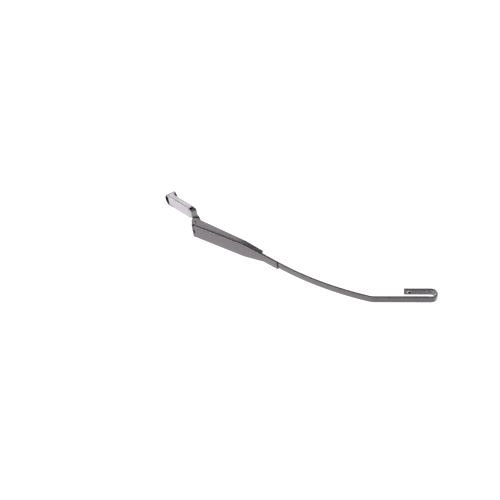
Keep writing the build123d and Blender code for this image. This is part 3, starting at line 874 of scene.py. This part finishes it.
# Floor: a white light table well below the arm, as for a catalogue picture.
# It is matt laminate. The camera and mirrored rays see its glow, and it still takes the arm's soft shadow.
FLOOR_DROP = 250 * MM
FLOOR_SIZE = 12.0
FLOOR_TURN = math.radians(53.1)
FLOOR_EDGE = 0.285
FLOOR_GLOW = 0.8
LAMINATE_GRAIN = 4 * MM
edge_way = Vector((math.cos(FLOOR_TURN), math.sin(FLOOR_TURN), 0))
floor_middle = edge_way * (FLOOR_EDGE - FLOOR_SIZE / 2) + Vector((0, 0, cad_box[0].z - FLOOR_DROP))
bpy.ops.mesh.primitive_plane_add(size=FLOOR_SIZE, location=floor_middle, rotation=(0, 0, FLOOR_TURN))
floor = bpy.context.object
floor.name = "light_table"
white_laminate, tree, shader, place = new_finish("matt_white_laminate")
laminate_grain = add_node(tree, "ShaderNodeTexNoise", {"Vector": place, "Scale": 1 / LAMINATE_GRAIN})
laminate_colour = add_node(tree, "ShaderNodeMix", {
    "Factor": laminate_grain.outputs["Fac"],
    "A": linear("#e4e4e4"),
    "B": linear("#eaeaea"),
}, data_type="RGBA")
rays = add_node(tree, "ShaderNodeLightPath").outputs
seen = add_node(tree, "ShaderNodeMath", {0: rays["Is Camera Ray"], 1: rays["Is Glossy Ray"]},
                operation="MAXIMUM")
seen = add_node(tree, "ShaderNodeMath", {0: seen.outputs[0], 1: rays["Is Transmission Ray"]},
                operation="MAXIMUM")
glow = add_node(tree, "ShaderNodeMath", {0: seen.outputs[0], 1: FLOOR_GLOW}, operation="MULTIPLY")
plug(tree, shader, {
    "Base Color": laminate_colour.outputs["Result"],
    "Roughness": 0.9,
    "Emission Color": (1, 1, 1, 1),
    "Emission Strength": glow.outputs[0],
})
floor.data.materials.append(white_laminate)

# Surround: a white sweep behind the arm, a dim room before it and a pale wall beyond the hook, which the
# glossy paint mirrors. Plain even light reaches the arm from it on all sides, and the camera sees it white.
ROOM_WAY = (0.5, 1.0, 0.0)
SWEEP_END = -0.9
ROOM_START = 0.3
WALL_START = 0.05
WALL_FULL = 0.5
SWEEP_LEVEL = 1.0
ROOM_LEVEL = 0.08
WALL_LEVEL = 0.4
FILL_LEVEL = 0.44
world = bpy.data.worlds.new("white_sweep")
bpy.context.scene.world = world
world.use_nodes = True
tree = world.node_tree
heading = add_node(tree, "ShaderNodeTexCoord").outputs["Generated"]
to_room = add_node(tree, "ShaderNodeVectorMath", {0: heading, 1: ROOM_WAY}, operation="DOT_PRODUCT")
mirrored = add_node(tree, "ShaderNodeMapRange", {
    "Value": to_room.outputs["Value"],
    "From Min": SWEEP_END,
    "From Max": ROOM_START,
    "To Min": SWEEP_LEVEL,
    "To Max": ROOM_LEVEL,
})
to_wall = add_node(tree, "ShaderNodeSeparateXYZ", {0: heading}).outputs["X"]
wall = add_node(tree, "ShaderNodeMapRange", {
    "Value": to_wall,
    "From Min": WALL_START,
    "From Max": WALL_FULL,
    "To Max": WALL_LEVEL,
})
mirrored = add_node(tree, "ShaderNodeMath", {0: mirrored.outputs["Result"], 1: wall.outputs["Result"]},
                    operation="MAXIMUM")
rays = add_node(tree, "ShaderNodeLightPath").outputs
level = add_node(tree, "ShaderNodeMix", {
    "Factor": rays["Is Glossy Ray"],
    "A": FILL_LEVEL,
    "B": mirrored.outputs[0],
})
seen = add_node(tree, "ShaderNodeMath", {0: rays["Is Camera Ray"], 1: rays["Is Transmission Ray"]},
                operation="MAXIMUM")
level = add_node(tree, "ShaderNodeMath", {0: level.outputs["Result"], 1: seen.outputs[0]},
                 operation="MAXIMUM")
plug(tree, tree.nodes["Background"], {"Color": (1, 1, 1, 1), "Strength": level.outputs[0]})

# Lamp: one long soft box above the arm, in line with it, which draws the bright line along the bends.
# It is white cloth over a frame, hung to one side so that the cover doesn't mirror it straight up.
BOX_WAY = Vector((-0.05, 0.4, 0.91)).normalized()
BOX_DISTANCE = 1.2
BOX_LENGTH = 2.2
BOX_WIDTH = 0.5
BOX_POWER = 9.5
middle = (cad_box[0] + cad_box[1]) / 2
lamp = bpy.data.objects.new("soft_box", bpy.data.lights.new("soft_box", "AREA"))
lamp.data.shape = "RECTANGLE"
lamp.data.size = BOX_LENGTH
lamp.data.size_y = BOX_WIDTH
lamp.data.energy = BOX_POWER
lamp.location = middle + BOX_WAY * BOX_DISTANCE
lamp.rotation_euler = BOX_WAY.to_track_quat("Z", "Y").to_euler()
bpy.context.scene.collection.objects.link(lamp)

# Camera: it looks down on the arm from beyond the hook, turned so that the arm runs down to the right.
# Its place and aim are given from the arm's hinge, and its field from a focal length in pixels of the frame.
FOCAL_PIXELS = 896
FRAME_PIXELS = 500
CAMERA_ROLL = math.radians(-130.3)
CAMERA_PLACE = Vector((585.54, 693.9, 420.95)) * MM
CAMERA_AIM = Vector((70.73, -0.45, -12.04)) * MM
NEAR_CLIP = 10 * MM
camera = bpy.data.objects.new("camera", bpy.data.cameras.new("camera"))
bpy.context.scene.collection.objects.link(camera)
camera.data.lens = camera.data.sensor_width * FOCAL_PIXELS / FRAME_PIXELS
camera.data.clip_start = NEAR_CLIP
camera.location = hinge + CAMERA_PLACE
looked_at = hinge + CAMERA_AIM
aim = (looked_at - camera.location).to_track_quat("-Z", "Y")
camera.rotation_euler = (aim @ Quaternion((0, 0, 1), CAMERA_ROLL)).to_euler()
bpy.context.scene.camera = camera
bpy.context.scene.view_settings.view_transform = "Standard"
